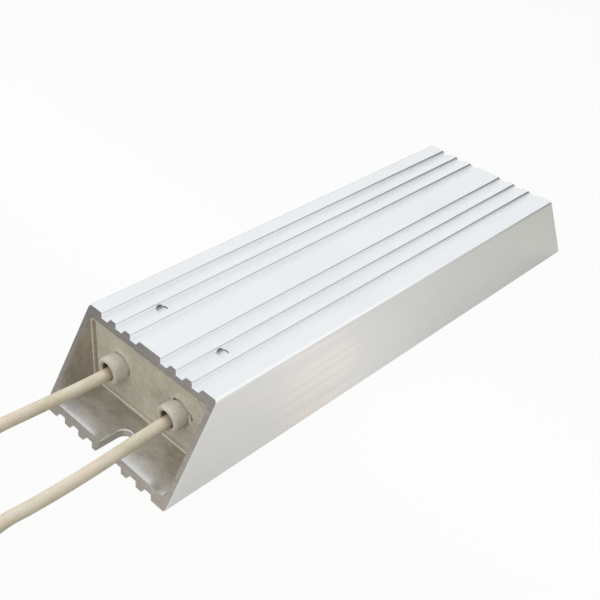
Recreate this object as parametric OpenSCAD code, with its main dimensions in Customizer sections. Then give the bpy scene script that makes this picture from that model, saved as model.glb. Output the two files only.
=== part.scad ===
// Aluminium housed wirewound power resistor with two insulated leads.
// A grooved aluminium extrusion, sawn at a slant at both ends, holds two wound ceramic rods
// in cement. The origin is at the middle of the underside. +Y runs along the length, away
// from the end that the leads come out of, +X is to the right seen from that end, +Z is up.

/* [Housing] */
// Width of the extrusion
body_w = 60; // [56:1:80]
// Height of the extrusion
body_h = 32; // [30:1:40]
// Length along the top
top_len = 175; // [170:1:240]
// How much further than the top the base reaches at each end
setback = 19.5; // [14:0.5:26]
// Thickness of the side walls
side_wall = 2.1; // [1.6:0.1:3]
// Thickness of the top wall
top_wall = 2.9; // [2.4:0.1:3.6]
// Thickness of the base wall
base_wall = 3.1; // [2.6:0.1:4]
// Radius of the outer edges along the extrusion
edge_r = 1.2; // [0.6:0.1:2]
// Radius of the corners inside the extrusion
cavity_r = 1.4; // [0.9:0.1:2]

/* [Grooves] */
// Grooves in each group, on each side of the middle
groove_count = 3; // [1:1:3]
// From the middle of the housing to the middle of the first groove
groove_first = 7.2; // [6:0.1:9]
// From one groove to the next
groove_pitch = 7.1; // [5.5:0.1:7.5]
// Width at the mouth
groove_w = 4.1; // [2.5:0.1:4.6]
// Width at the floor
groove_floor_w = 3.1; // [1.6:0.1:3.4]
// Depth
groove_d = 1.25; // [0.6:0.05:1.6]
// Radius of the rounded mouth and floor corners
groove_r = 0.3; // [0.15:0.05:0.4]

/* [Screw slots] */
// Width of the open slots
slot_w = 6; // [4:0.5:8]
// From the end of the base to the centre of the slot's round end
slot_centre = 8.5; // [5:0.5:10]

/* [Staking marks] */
// Diameter of the round punch marks in the top
stake_d = 3.8; // [2:0.2:5]
// Depth of the marks below the groove floor
stake_depth = 0.7; // [0.3:0.1:0.8]
// From the end of the top to the marks
stake_inset = 16.2; // [10:0.1:30]

/* [Liner and cement] */
// Thickness of the insulating liner
liner_t = 0.8; // [0.5:0.1:1.2]
// How far the cement lies behind the edge of the liner
cement_recess = 1.2; // [0.6:0.1:3]
// Width of the shrinkage gap round the cement faces
shrink_gap = 0.35; // [0.1:0.05:0.6]
// Depth of the shrinkage gap
shrink_depth = 1; // [0.5:0.1:2]

/* [Bushes] */
// From the inside of a side wall to the middle of the nearer bush and rod
bush_inset = 13.6; // [12.4:0.2:14]
// Outer diameter of a bush
bush_d = 9.4; // [8:0.2:11]
// Bore of a bush
bush_bore = 6; // [5:0.1:7]
// How far a bush stands out of the cement
bush_proud = 5.5; // [2:0.5:9]
// Length of a bush behind the cement face
bush_seat = 8; // [5:0.5:9]
// Diameter of the shoulder that holds a bush in the cement
shoulder_d = 12.4; // [11.4:0.2:14]
// Thickness of the shoulder
shoulder_t = 2; // [1:0.5:3]
// Radius of the rounded rim at the mouth
rim_r = 0.9; // [0.3:0.1:1.3]

/* [Element] */
// Diameter of a ceramic rod
core_d = 15; // [12:0.5:16]
// Length of a ceramic rod
core_len = 136; // [100:1:140]
// Sheet thickness of the end caps
cap_t = 0.6; // [0.4:0.1:1]
// How far a cap reaches over its rod
cap_len = 7; // [4:0.5:10]
// Diameter of the stud on a cap
stud_d = 3; // [2:0.2:3.6]
// Length of the stud on a front cap
stud_len = 4; // [3:0.5:5]
// Diameter of the resistance wire
wire_d = 1.2; // [0.8:0.1:1.6]
// From one turn of the winding to the next
wire_pitch = 2.4; // [2:0.1:4]
// Thickness of the coat that binds the turns
coat_t = 0.4; // [0.3:0.05:0.5]
// Diameter of the splice between lead and cap
splice_d = 5.2; // [4.6:0.2:6]
// Length of the splice
splice_len = 10; // [8:0.5:11]
// Width of the strap between the rear caps
link_w = 8; // [5:0.5:12]
// Thickness of the strap
link_t = 1.5; // [1:0.1:2.5]

/* [Leads] */
// Outer diameter of a lead
lead_d = 4; // [3.4:0.1:4.4]
// Wall of the heat-shrink sleeve on a ring terminal
sleeve_t = 0.6; // [0.4:0.1:0.8]
// Length of the sleeve
sleeve_len = 12; // [10:0.5:12.5]
// Length of the terminal's barrel
barrel_len = 6; // [6:0.5:8]
// Length of the barrel that the sleeve leaves bare
barrel_bare = 1; // [0.5:0.1:1.5]
// Thickness of the terminal's ring
ring_t = 1; // [0.6:0.1:1.4]
// Outer diameter of the ring
ring_d = 9; // [8:0.2:10]
// Hole of the ring
ring_hole = 5.3; // [4.3:0.1:5.5]
// From the barrel to the centre of the ring
ring_reach = 6.5; // [6:0.5:8]
// Width of the neck between barrel and ring
neck_w = 3.6; // [2.5:0.1:4]

/* [Hidden] */
$fn = 64;

LEFT = -1;
RIGHT = 1;
FRONT = -1;
REAR = 1;
OVER = 5; // how far a cut runs past the face that it opens

base_len = top_len + 2 * setback;
cavity_w = body_w - 2 * side_wall;
cavity_top = body_h - top_wall;
mid_z = (base_wall + cavity_top) / 2;

// The liner ends level with the lower edge of the sawn top wall
liner_half = top_len / 2 + setback * top_wall / body_h;
cement_half = liner_half - cement_recess;
cement_w = cavity_w - 2 * liner_t;
cement_h = cavity_top - base_wall - 2 * liner_t;
cement_r = max(cavity_r - liner_t, 0.3);

core_x = cavity_w / 2 - bush_inset;
core_r = core_d / 2;
cap_r = core_r + cap_t;
wind_r = core_r + coat_t + wire_d / 2;
splice_r = splice_d / 2;
lead_r = lead_d / 2;
// A lead lies on the bottom of its bush's bore
bush_z = mid_z + bush_bore / 2 - lead_r;
bush_mouth = -cement_half - bush_proud;
bush_back = -cement_half + bush_seat;

// The element is placed from the lead end
LEAD_BACK = 6; // stretch of lead in the cement between its bush and its splice
splice_front = bush_back + LEAD_BACK;
cap_front = splice_front + splice_len;
core_front = cap_front + cap_t;
core_back = core_front + core_len;
cap_back = core_back + cap_t;
wind_len = core_len - 2 * cap_len;

// Routes of the leads, from the splice to the ring. A run's points and the coil's centre are
// given from the mouth of the lead's bush, and a point's height as a share of the mouth's.
// Each lead ends in one open turn, clockwise from above, and a tighter bend inside it
COIL_R = 22;
BEND_R = 11.5;
COIL_TURN = 285;
BEND_TURN = 115;
COIL_STEP = 23.75;
BEND_STEP = 23;
LAST_RUN = 8; // straight stretch before the terminal
RUN_LEFT = [
    [-0.2, -10.5, 1], [-0.7, -18.5, 1], [-1.4, -27.5, 0.99], [-2, -36.5, 0.98],
    [-2.7, -45.5, 0.89], [-3.9, -54.5, 0.71], [-5.7, -63.5, 0.46], [-8.1, -72.5, 0.21],
    [-10, -80.5, 0.06]
];
RUN_RIGHT = [
    [0.3, -8.5, 1], [0.8, -17.5, 1], [1.3, -27.5, 1], [1.5, -37.5, 1],
    [1.3, -46.5, 0.99], [0.9, -55.5, 0.97], [1.7, -63.5, 0.82], [4.9, -71.5, 0.57],
    [8.7, -80, 0.28]
];
COIL_LEFT = [-32.7, -88.5];
COIL_RIGHT = [-11.3, -88.5];
START_LEFT = 2.2; // height of the lead's middle where its turn starts
START_RIGHT = 3.4;
LEAD_SIDES = 10;
floor_z = lead_r;
end_z = lead_r + sleeve_t;

function unit(v) = v / norm(v);
function on_circle(c, r, a) = [c[0] + r * cos(a), c[1] - r * sin(a)];

// Height along the turn: down to the floor in its first sixth, and up to the terminal at the end
function turn_z(a, start) = floor_z + max(0, start - floor_z) * max(0, 1 - a / 60);
function bend_z(a) = floor_z + (end_z - floor_z) * min(1, max(0, a / BEND_TURN));

function mouth(side) = [side * core_x, bush_mouth];
function run_points(side, run) = [
    for (p = run)
        concat(mouth(side) + [p[0], p[1]], floor_z + p[2] * (mid_z - floor_z))
];
function coil_points(c, start) = [
    for (a = [0 : COIL_STEP : COIL_TURN]) concat(on_circle(c, COIL_R, a), turn_z(a, start))
];
function bend_centre(c) = on_circle(c, COIL_R - BEND_R, COIL_TURN);
function bend_points(c) = [
    for (a = [BEND_STEP : BEND_STEP : BEND_TURN])
        concat(on_circle(bend_centre(c), BEND_R, COIL_TURN + a), bend_z(a))
];
function heading(c) = [-sin(COIL_TURN + BEND_TURN), -cos(COIL_TURN + BEND_TURN)];
function last_point(c) =
    concat(
        on_circle(bend_centre(c), BEND_R, COIL_TURN + BEND_TURN) + LAST_RUN * heading(c), end_z
    );
function route(side, run, c, start) = concat(
    [[side * core_x, splice_front, mid_z], concat(mouth(side), mid_z)],
    run_points(side, run), coil_points(c, start), bend_points(c), [last_point(c)]
);
centre_left = mouth(LEFT) + COIL_LEFT;
centre_right = mouth(RIGHT) + COIL_RIGHT;
route_left = route(LEFT, RUN_LEFT, centre_left, START_LEFT);
route_right = route(RIGHT, RUN_RIGHT, centre_right, START_RIGHT);

// A corner of a profile: the arc from angle a to angle b round a centre
function arc(x, y, r, a, b, n = 4) = [
    for (i = [0 : n]) [x + r * cos(a + (b - a) * i / n), y + r * sin(a + (b - a) * i / n)]
];

// Cross-section of one groove, its mouth at y = 0 and its floor at y = -groove_d
module groove_profile() {
    half = groove_w / 2;
    floor_half = groove_floor_w / 2;
    lean = atan((half - floor_half) / groove_d);
    // Right half, from the mouth down to the floor
    mouth = arc(half + groove_r, -groove_r, groove_r, 90, 180 + lean);
    bottom = arc(floor_half - groove_r, groove_r - groove_d, groove_r, lean, -90);
    side = concat([[half + groove_r, OVER]], mouth, bottom);
    mirrored = [for (i = [len(side) - 1 : -1 : 0]) [-side[i][0], side[i][1]]];
    polygon(concat(side, mirrored));
}

module groove_row() {
    for (i = [0 : groove_count - 1], side = [LEFT, RIGHT])
        translate([side * (groove_first + i * groove_pitch), 0]) groove_profile();
}

// A rectangle with round corners that stands on y = 0, centred in x
module round_rect(w, h, r) {
    translate([r - w / 2, 0]) square([w - 2 * r, h]);
    translate([-w / 2, r]) square([w, h - 2 * r]);
    for (x = [r - w / 2, w / 2 - r], y = [r, h - r]) translate([x, y]) circle(r);
}

// A profile drawn in x and z, run along Y from one place to another
module along(from_y, to_y) {
    translate([0, to_y, 0]) rotate([90, 0, 0]) linear_extrude(to_y - from_y) children();
}

// A cylinder along Y
module rod(r, from_y, to_y, x, z) {
    translate([x, to_y, z]) rotate([90, 0, 0]) cylinder(r = r, h = to_y - from_y);
}

// A profile drawn as radius and distance along Y, turned round the line at x, z
module turned(x, z, from_y) {
    translate([x, from_y, z]) rotate([-90, 0, 0]) rotate_extrude() children();
}

module extrusion_profile() {
    difference() {
        round_rect(body_w, body_h, edge_r);
        translate([0, base_wall]) round_rect(cavity_w, cavity_top - base_wall, cavity_r);
        translate([0, body_h]) groove_row();
        mirror([0, 1]) groove_row();
    }
}

// The side view that both saw cuts leave
module sawn_shape() {
    rotate([90, 0, 90]) linear_extrude(body_w + 2 * OVER, center = true)
        polygon([
            [-base_len / 2, 0], [base_len / 2, 0], [top_len / 2, body_h], [-top_len / 2, body_h]
        ]);
}

module screw_slot(end) {
    y = end * (base_len / 2 - slot_centre);
    translate([0, y, -OVER]) cylinder(d = slot_w, h = base_wall + 2 * OVER);
    translate([-slot_w / 2, min(y, y + end * 2 * slot_centre), -OVER])
        cube([slot_w, 2 * slot_centre, base_wall + 2 * OVER]);
}

module stake_mark(side) {
    x = side * (groove_first + floor(groove_count / 2) * groove_pitch);
    translate([x, stake_inset - top_len / 2, body_h - groove_d - stake_depth])
        cylinder(d = stake_d, h = OVER);
}

module housing() {
    color([0.86, 0.87, 0.88]) difference() {
        intersection() {
            along(-base_len / 2, base_len / 2) extrusion_profile();
            sawn_shape();
        }
        for (end = [FRONT, REAR]) screw_slot(end);
        for (side = [LEFT, RIGHT]) stake_mark(side);
    }
}

module liner() {
    color([0.72, 0.69, 0.60]) along(-liner_half, liner_half)
        translate([0, base_wall]) difference() {
            round_rect(cavity_w, cavity_top - base_wall, cavity_r);
            translate([0, liner_t]) round_rect(cement_w, cement_h, cement_r);
        }
}

module cement_block(inset, half) {
    r = max(cement_r - inset, 0.3);
    along(-half, half) translate([0, base_wall + liner_t + inset])
        round_rect(cement_w - 2 * inset, cement_h - 2 * inset, r);
}

// Everything that the cement is cast round, on one side
module cast_in(side) {
    x = side * core_x;
    rod(bush_d / 2, bush_mouth - OVER, bush_back, x, bush_z);
    rod(shoulder_d / 2, bush_back - shoulder_t, bush_back, x, bush_z);
    rod(lead_r, bush_back, splice_front, x, mid_z);
    rod(splice_r, splice_front, cap_front, x, mid_z);
    rod(cap_r, cap_front, core_front + cap_len, x, mid_z);
    rod(wind_r, core_front + cap_len, core_back - cap_len, x, mid_z);
    rod(cap_r, core_back - cap_len, cap_back, x, mid_z);
}

module cement_fill() {
    color([0.66, 0.63, 0.55]) difference() {
        union() {
            cement_block(0, cement_half - shrink_depth);
            cement_block(shrink_gap, cement_half);
        }
        for (side = [LEFT, RIGHT]) cast_in(side);
        link_shape();
    }
}

module bush(side) {
    outer = bush_d / 2;
    inner = bush_bore / 2;
    long = bush_proud + bush_seat;
    color([0.74, 0.71, 0.64]) turned(side * core_x, bush_z, bush_mouth) difference() {
        union() {
            translate([0, rim_r]) square([outer, long - rim_r]);
            square([outer - rim_r, long]);
            translate([outer - rim_r, rim_r]) circle(rim_r);
            translate([0, long - shoulder_t]) square([shoulder_d / 2, shoulder_t]);
        }
        translate([-outer, -OVER]) square([outer + inner, long + 2 * OVER]);
    }
}

module core(side) {
    color([0.93, 0.92, 0.88]) rod(core_r, core_front, core_back, side * core_x, mid_z);
}

module winding(side) {
    turns = floor((wind_len - wire_d) / wire_pitch) + 1;
    first = (wind_len - (turns - 1) * wire_pitch) / 2;
    color([0.45, 0.43, 0.42]) turned(side * core_x, mid_z, core_front + cap_len) difference() {
        union() {
            square([core_r + coat_t, wind_len]);
            for (i = [0 : turns - 1])
                translate([core_r + coat_t, first + i * wire_pitch]) circle(d = wire_d, $fn = 24);
        }
        translate([-core_r, -OVER]) square([2 * core_r, wind_len + 2 * OVER]);
    }
}

module cap_shape(x) {
    turned(x, mid_z, 0) difference() {
        square([cap_r, cap_t + cap_len]);
        translate([0, cap_t]) square([core_r, cap_len + OVER]);
    }
}

module front_cap(side) {
    x = side * core_x;
    color([0.78, 0.76, 0.70]) {
        translate([0, cap_front, 0]) cap_shape(x);
        rod(stud_d / 2, cap_front - stud_len, cap_front, x, mid_z);
    }
}

module rear_cap(side) {
    color([0.78, 0.76, 0.70])
        translate([0, cap_back, 0]) mirror([0, 1, 0]) cap_shape(side * core_x);
}

module link_shape() {
    for (x = [-core_x, core_x]) rod(link_w / 2, cap_back, cap_back + link_t, x, mid_z);
    translate([-core_x, cap_back, mid_z - link_w / 2]) cube([2 * core_x, link_t, link_w]);
}

module rear_link() {
    color([0.80, 0.66, 0.35]) link_shape();
}

module splice(side) {
    x = side * core_x;
    color([0.80, 0.66, 0.35]) difference() {
        rod(splice_r, splice_front, cap_front, x, mid_z);
        rod(stud_d / 2, cap_front - stud_len, cap_front + OVER, x, mid_z);
    }
}

// A tube of flat-sided rings along a route that is never upright
module tube(points, r, sides) {
    last = len(points) - 1;
    along_at = [
        for (i = [0 : last]) unit(points[min(i + 1, last)] - points[max(i - 1, 0)])
    ];
    rings = [
        for (i = [0 : last])
            let (across = unit(cross(along_at[i], [0, 0, 1])), up = cross(across, along_at[i]))
                for (k = [0 : sides - 1])
                    let (a = 360 * k / sides - 90) points[i] + r * (cos(a) * across + sin(a) * up)
    ];
    walls = [
        for (i = [0 : last - 1], k = [0 : sides - 1])
            let (n = (k + 1) % sides)
                [i * sides + k, i * sides + n, (i + 1) * sides + n, (i + 1) * sides + k]
    ];
    start_cap = [for (k = [sides - 1 : -1 : 0]) k];
    end_cap = [for (k = [0 : sides - 1]) last * sides + k];
    polyhedron(rings, concat(walls, [start_cap, end_cap]), convexity = 10);
}

module lead(points) {
    color([0.88, 0.84, 0.74]) tube(points, lead_r, LEAD_SIDES);
}

// Puts a shape drawn along +X at the end of a lead
module at_end(c) {
    translate(last_point(c)) rotate([0, 0, atan2(heading(c)[1], heading(c)[0])]) children();
}

module lug(c) {
    ring_x = barrel_len + ring_reach;
    color([0.80, 0.80, 0.80]) at_end(c) difference() {
        union() {
            rotate([0, 90, 0]) cylinder(r = lead_r, h = barrel_len);
            translate([barrel_len - barrel_bare, -neck_w / 2, -lead_r])
                cube([barrel_bare + ring_reach, neck_w, ring_t]);
            translate([ring_x, 0, -lead_r]) cylinder(d = ring_d, h = ring_t);
        }
        translate([ring_x, 0, -lead_r - OVER]) cylinder(d = ring_hole, h = ring_t + 2 * OVER);
    }
}

module lug_sleeve(c) {
    color([0.20, 0.20, 0.21]) at_end(c)
        translate([barrel_len - barrel_bare - sleeve_len, 0, 0]) rotate([0, 90, 0]) difference() {
            cylinder(r = lead_r + sleeve_t, h = sleeve_len);
            translate([0, 0, -OVER]) cylinder(r = lead_r, h = sleeve_len + 2 * OVER);
        }
}

housing();
liner();
cement_fill();
bush(LEFT);  // bush_left
bush(RIGHT);  // bush_right
core(LEFT);  // core_left
core(RIGHT);  // core_right
winding(LEFT);  // winding_left
winding(RIGHT);  // winding_right
front_cap(LEFT);  // front_cap_left
front_cap(RIGHT);  // front_cap_right
rear_cap(LEFT);  // rear_cap_left
rear_cap(RIGHT);  // rear_cap_right
rear_link();
splice(LEFT);  // splice_left
splice(RIGHT);  // splice_right
lead(route_left);  // lead_left
lead(route_right);  // lead_right
lug(centre_left);  // lug_left
lug(centre_right);  // lug_right
lug_sleeve(centre_left);  // lug_sleeve_left
lug_sleeve(centre_right);  // lug_sleeve_right
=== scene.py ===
"""Looks of the aluminium housed power resistor.

Lengths are written in millimetres and turned into metres where a piece is made. X runs across
the housing, Y along it away from the lead end, and Z up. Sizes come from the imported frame
where it has them, and otherwise repeat the named values of the part's source.
"""
import math

import bmesh
import bpy
from mathutils import Matrix, Vector, noise
from mathutils.geometry import tessellate_polygon


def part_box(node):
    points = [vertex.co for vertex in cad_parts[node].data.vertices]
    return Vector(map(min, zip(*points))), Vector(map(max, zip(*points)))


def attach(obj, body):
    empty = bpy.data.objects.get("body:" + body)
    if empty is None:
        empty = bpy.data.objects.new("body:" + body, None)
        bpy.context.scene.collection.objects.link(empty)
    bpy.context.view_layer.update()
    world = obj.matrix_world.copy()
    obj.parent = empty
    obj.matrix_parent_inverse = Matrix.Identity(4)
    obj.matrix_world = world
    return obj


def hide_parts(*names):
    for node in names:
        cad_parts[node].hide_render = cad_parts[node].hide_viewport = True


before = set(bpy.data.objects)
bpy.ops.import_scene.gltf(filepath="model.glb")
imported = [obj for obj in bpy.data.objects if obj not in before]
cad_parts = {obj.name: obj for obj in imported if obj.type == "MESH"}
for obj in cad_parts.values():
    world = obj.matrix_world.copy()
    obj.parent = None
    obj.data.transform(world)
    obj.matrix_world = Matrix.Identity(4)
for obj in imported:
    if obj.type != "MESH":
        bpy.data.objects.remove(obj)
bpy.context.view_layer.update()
MM = 0.001


# --- Sizes, in millimetres ---------------------------------------------------------------

def box_mm(node):
    low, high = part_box(node)
    return Vector(low) / MM, Vector(high) / MM


house_low, house_high = box_mm("housing")
cement_low, cement_high = box_mm("cement_fill")
bush_low, bush_high = box_mm("bush_right")
liner_low, liner_high = box_mm("liner")

BODY_W = house_high.x - house_low.x
BODY_H = house_high.z - house_low.z
SIDE_X = BODY_W / 2
BASE_HALF = house_high.y
SETBACK = 19.5  # how far each end is cut back at the top
TOP_HALF = BASE_HALF - SETBACK
EDGE_R = 1.2
CAVITY_R = 1.4
GROOVE_FIRST, GROOVE_PITCH, GROOVE_COUNT = 7.2, 7.1, 3
GROOVE_W, GROOVE_FLOOR_W, GROOVE_D, GROOVE_R = 4.1, 3.1, 1.25, 0.3
SLOT_W = 6.0
SLOT_IN = 8.5  # from the end of the base to the middle of the slot's round end
SLOT_Y = BASE_HALF - SLOT_IN
STAKE_IN = 16.2  # from the front end of the top
STAKE_R = 1.9
STAKE_X = GROOVE_FIRST + GROOVE_PITCH
STAKE_Y = STAKE_IN - TOP_HALF
BURR = 0.14  # width of the broken edge that the saw leaves

LINER_HALF = liner_high.y
LINER_T = cement_low.x - liner_low.x
CEMENT_HALF = cement_high.y
BUSH_X = (bush_low.x + bush_high.x) / 2
BUSH_Z = (bush_low.z + bush_high.z) / 2
BUSH_R = 4.7
BORE_R = 3.0
BUSH_MOUTH = bush_low.y
BUSH_BACK = bush_high.y
LEAD_R = 2.0
LEAD_Z = BUSH_Z - BORE_R + LEAD_R


# --- Small tools -------------------------------------------------------------------------

def smooth_by_angle(mesh, degrees=32):
    mesh.shade_smooth()
    mesh.set_sharp_from_angle(angle=math.radians(degrees))


def tidy_normals(mesh):
    bm = bmesh.new()
    bm.from_mesh(mesh)
    bmesh.ops.remove_doubles(bm, verts=bm.verts, dist=1e-7)
    bmesh.ops.recalc_face_normals(bm, faces=bm.faces)
    bm.to_mesh(mesh)
    bm.free()


def new_mesh(name, points, faces):
    """A mesh from points in millimetres, its normals turned outward."""
    mesh = bpy.data.meshes.new(name)
    mesh.from_pydata([Vector(p) * MM for p in points], [], faces)
    tidy_normals(mesh)
    return mesh


def new_object(name, data):
    piece = bpy.data.objects.new(name, data)
    bpy.context.collection.objects.link(piece)
    return piece


def new_piece(name, data, material):
    """A new piece that rides on the base, with its material."""
    data.materials.append(material)
    piece = new_object(name, data)
    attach(piece, "root")
    return piece


def add_piece(name, points, faces, material, degrees=32):
    """A new mesh piece from points in millimetres."""
    mesh = new_mesh(name, points, faces)
    smooth_by_angle(mesh, degrees)
    return new_piece(name, mesh, material)


def arc(x, y, radius, start, end, steps):
    """Points on an arc, the angles in degrees."""
    angles = [math.radians(start + (end - start) * i / steps) for i in range(steps + 1)]
    return [(x + radius * math.cos(a), y + radius * math.sin(a)) for a in angles]


def band(a, b, size):
    """Quads between two rings of the same size, from the numbers of their first points."""
    return [(a + k, a + (k + 1) % size, b + (k + 1) % size, b + k) for k in range(size)]


def rings_to_faces(count, size):
    """Quads between consecutive rings of the same size, with an n-gon on each end."""
    faces = []
    for i in range(count - 1):
        faces += band(i * size, (i + 1) * size, size)
    faces.append(tuple(reversed(range(size))))
    faces.append(tuple((count - 1) * size + k for k in range(size)))
    return faces


def lathe(profile, sides, place, wobble):
    """A closed loop of (radius, distance) turned round +Y at a place in millimetres, its
    radius changed by wobble(turn, radius, distance)."""
    points, faces = [], []
    size = len(profile)
    for i in range(sides):
        turn = 2 * math.pi * i / sides
        for radius, along in profile:
            r = radius + wobble(turn, radius, along)
            points.append((place[0] + r * math.cos(turn), place[1] + along,
                           place[2] + r * math.sin(turn)))
        faces += band(i * size, (i + 1) % sides * size, size)
    return points, faces


def step_up(value, low, high):
    """0 below low, 1 above high, smooth between them."""
    t = min(1.0, max(0.0, (value - low) / (high - low)))
    return t * t * (3 - 2 * t)


# --- Materials ---------------------------------------------------------------------------

class Nodes:
    """A node tree, with short ways to add what this scene uses."""

    def __init__(self, tree, coordinates="Object"):
        self.tree = tree
        self.place = self.add("ShaderNodeTexCoord").outputs[coordinates]

    def add(self, kind, inputs=(), **settings):
        """A new node with its settings, and with its inputs by name or number."""
        node = self.tree.nodes.new(kind)
        for key, value in settings.items():
            setattr(node, key, value)
        for key, value in dict(inputs).items():
            self.feed(node.inputs[key], value)
        return node

    def feed(self, into, what):
        """Gives an input another node's output, a number, a vector or a colour."""
        if isinstance(what, bpy.types.NodeSocket):
            self.tree.links.new(what, into)
        else:
            into.default_value = (*what, 1.0) if into.type == "RGBA" else what

    def noise(self, per_mm, detail=3.0, rough=0.55, seed=0.0):
        """Noise from 0 to 1, with its waves per millimetre along X, Y and Z."""
        if isinstance(per_mm, (int, float)):
            per_mm = (per_mm, per_mm, per_mm)
        mapping = self.add("ShaderNodeMapping", {
            "Vector": self.place, "Scale": [v / MM for v in per_mm],
            "Location": (seed, seed * 1.7, seed * 2.3)})
        texture = self.add("ShaderNodeTexNoise", {
            "Vector": mapping.outputs["Vector"], "Scale": 1.0, "Detail": detail,
            "Roughness": rough})
        return texture.outputs["Fac"]

    def spread(self, value, low, high, to_low=0.0, to_high=1.0):
        """A value's run from low to high, stretched to another run and held at its ends."""
        node = self.add("ShaderNodeMapRange", {
            "Value": value, "From Min": low, "From Max": high, "To Min": to_low,
            "To Max": to_high}, clamp=True)
        return node.outputs["Result"]

    def colours(self, value, stops):
        """A colour ramp through (position, colour) stops."""
        node = self.add("ShaderNodeValToRGB", {"Fac": value})
        elements = node.color_ramp.elements
        while len(elements) < len(stops):
            elements.new(0.5)
        for element, (position, colour) in zip(elements, stops):
            element.position = position
            element.color = (*colour, 1.0)
        return node.outputs["Color"]

    def mix(self, a, b, amount, blend="MIX"):
        """Colours a and b mixed by a number or another output."""
        node = self.add("ShaderNodeMix", {0: amount, 6: a, 7: b}, data_type="RGBA",
                        blend_type=blend)
        return node.outputs[2]

    def calculate(self, operation, a, b=0.0):
        return self.add("ShaderNodeMath", {0: a, 1: b}, operation=operation).outputs[0]

    def product(self, a, b):
        return self.calculate("MULTIPLY", a, b)

    def blend_values(self, pairs):
        """The sum of (output, weight) pairs."""
        total, *others = [self.product(value, weight) for value, weight in pairs]
        for other in others:
            total = self.calculate("ADD", total, other)
        return total

    def axis(self, name):
        return self.add("ShaderNodeSeparateXYZ", {0: self.place}).outputs[name]

    def distance(self, name, middle=0.0):
        """How far a point lies, in metres, from a middle given in millimetres."""
        return self.calculate("ABSOLUTE", self.calculate("SUBTRACT", self.axis(name), middle * MM))

    def along(self, name, low, high, to_low=0.0, to_high=1.0, middle=None):
        """A value that changes between two places on an axis, or where a middle is given
        between two distances from it, all in millimetres."""
        value = self.axis(name) if middle is None else self.distance(name, middle)
        return self.spread(value, low * MM, high * MM, to_low, to_high)


class Surface(Nodes):
    """A material and its principled shader."""

    def __init__(self, name, roughness, metallic=0.0, specular=0.5):
        self.material = bpy.data.materials.new(name)
        self.material.use_nodes = True
        super().__init__(self.material.node_tree)
        self.inputs = self.tree.nodes["Principled BSDF"].inputs
        self.inputs["Metallic"].default_value = metallic
        self.inputs["Roughness"].default_value = roughness
        self.inputs["Specular IOR Level"].default_value = specular

    def finish(self, colour, roughness, height, depth_mm, strength):
        """The material, with a bump, and with a roughness from nodes unless that is None."""
        self.feed(self.inputs["Base Color"], colour)
        if roughness is not None:
            self.feed(self.inputs["Roughness"], roughness)
        bump = self.add("ShaderNodeBump", {
            "Strength": strength, "Distance": depth_mm * MM, "Height": height})
        self.feed(self.inputs["Normal"], bump.outputs["Normal"])
        return self.material


# Middle, along Y, of a painted sheen on the right side wall
SHEEN_Y = -43.0
SHEEN_FADE = (8, 24)  # distances from the middle of the painted sheen between which it fades out
SHEEN_COLOUR = (0.99, 0.955, 0.93)
EDGE_HIGHLIGHT = (0.995, 0.985, 0.96)
HIGHLIGHT_FADE = (-20, 20)  # places along Y between which the painted edge highlight fades out


def drawn_aluminium():
    """Satin extruded surface: die lines along Y, soft clouds and small marks. The right side
    wall has a streaky painted sheen, and the front half of the edge above it a painted highlight."""
    n = Surface("drawn_aluminium", roughness=0.4, metallic=1.0)
    lines = n.noise((2.2, 0.006, 2.2), detail=4.0, rough=0.7)
    fine = n.noise((9.0, 0.02, 9.0), detail=2.0, rough=0.6, seed=3.0)
    clouds = n.noise((0.05, 0.028, 0.05), detail=3.0, seed=7.0)
    marks = n.noise((1.1, 0.5, 1.1), detail=5.0, rough=0.75, seed=11.0)
    tone = n.blend_values([(lines, 0.45), (clouds, 0.4), (fine, 0.15)])
    colour = n.colours(tone, [(0.3, (0.84, 0.85, 0.86)), (0.5, (0.89, 0.90, 0.91)),
                              (0.7, (0.93, 0.94, 0.95))])
    colour = n.mix(colour, (0.60, 0.60, 0.61), n.spread(marks, 0.66, 0.78))
    # Painted sheen in streaks on the right side wall, strongest a little in front of the middle
    streaks = n.spread(n.noise((0.45, 0.01, 0.45), detail=3.0, seed=15.0), 0.45, 0.6)
    sheen = n.product(n.along("Y", *SHEEN_FADE, 1.0, 0.0, middle=SHEEN_Y), streaks)
    on_side = n.along("X", SIDE_X - 1.5, SIDE_X - 0.5)
    colour = n.mix(colour, SHEEN_COLOUR, n.product(sheen, on_side))
    # Painted highlight along the front half of the top right edge
    on_edge = n.product(n.along("X", SIDE_X - 1.2, SIDE_X - 0.7),
                        n.along("Z", BODY_H - 1.2, BODY_H - 0.6))
    colour = n.mix(colour, EDGE_HIGHLIGHT, n.product(on_edge, n.along("Y", *HIGHLIGHT_FADE, 1.0, 0.0)))
    rough = n.spread(n.blend_values([(lines, 0.5), (clouds, 0.5)]), 0.3, 0.7, 0.32, 0.46)
    height = n.blend_values([(lines, 0.7), (fine, 0.3)])
    return n.finish(colour, rough, height, depth_mm=0.03, strength=0.5)


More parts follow.
